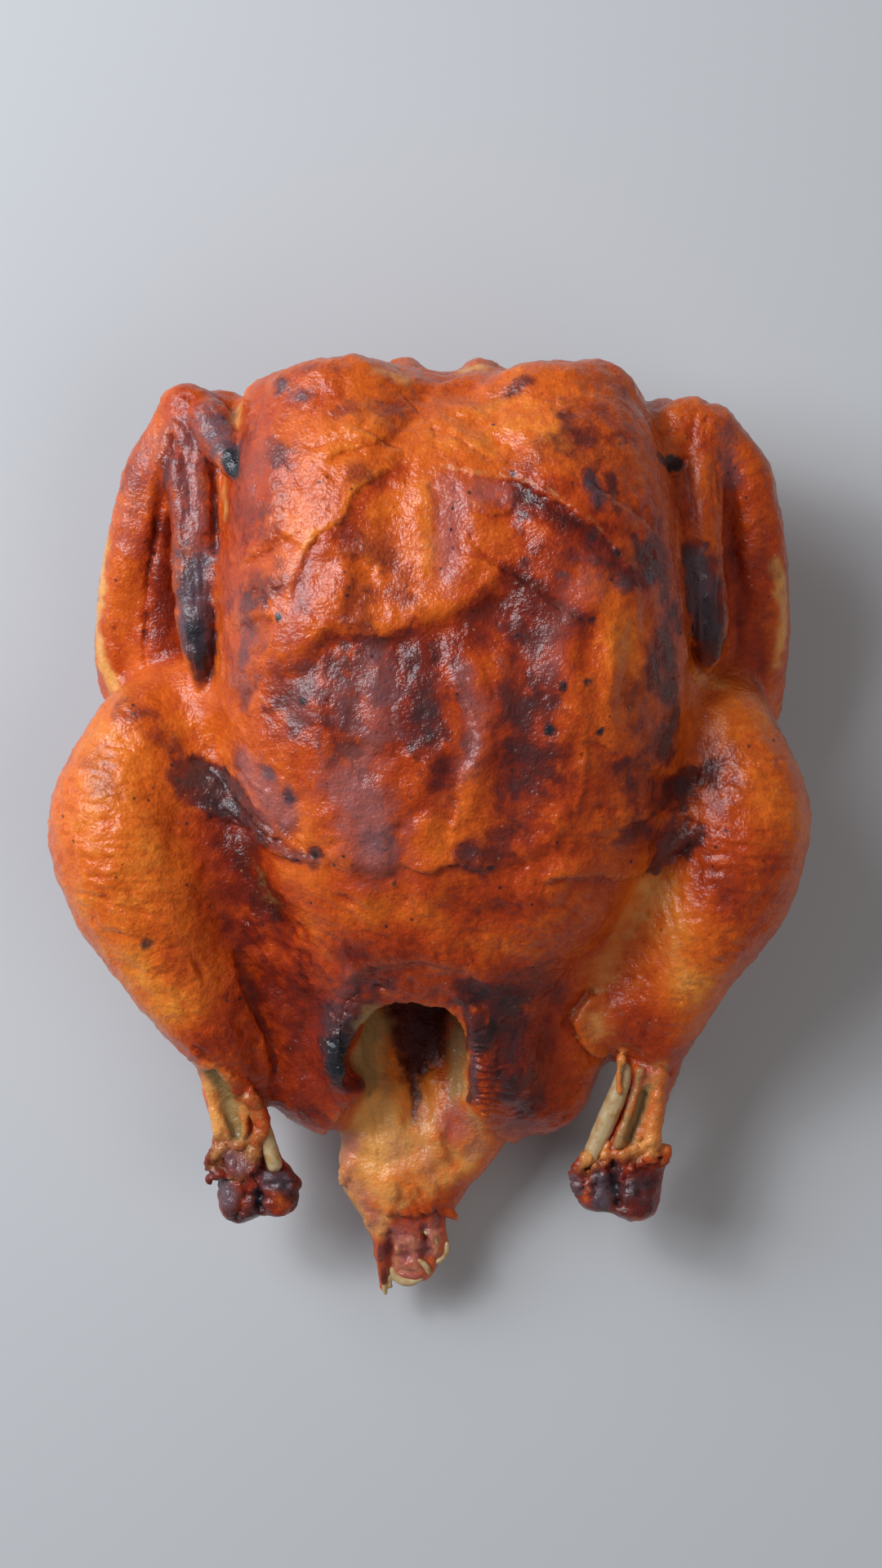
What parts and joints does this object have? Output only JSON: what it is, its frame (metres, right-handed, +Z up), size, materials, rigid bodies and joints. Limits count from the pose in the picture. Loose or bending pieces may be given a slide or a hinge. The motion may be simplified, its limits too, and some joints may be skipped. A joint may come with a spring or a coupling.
{
  "type": "roast chicken",
  "caption": "Whole roast bird lying on its back, breast up, with folded wings, splayed drumsticks, open body cavity and tail.",
  "frame": {"origin": "middle of the bird's box, on the surface it lies on", "axes": "+Z up out of the breast, +Y towards the neck end, +X towards the bird's left side as it lies"},
  "size_m": [0.1994, 0.252, 0.0941],
  "materials": {
    "roast_skin": "browned roast skin with a fatty sheen, from amber through red-brown to charred",
    "bone": "dry cooked bone and gristle"
  },
  "bodies": {
    "root": {"chicken": "roast_skin"}
  },
  "joints": []
}
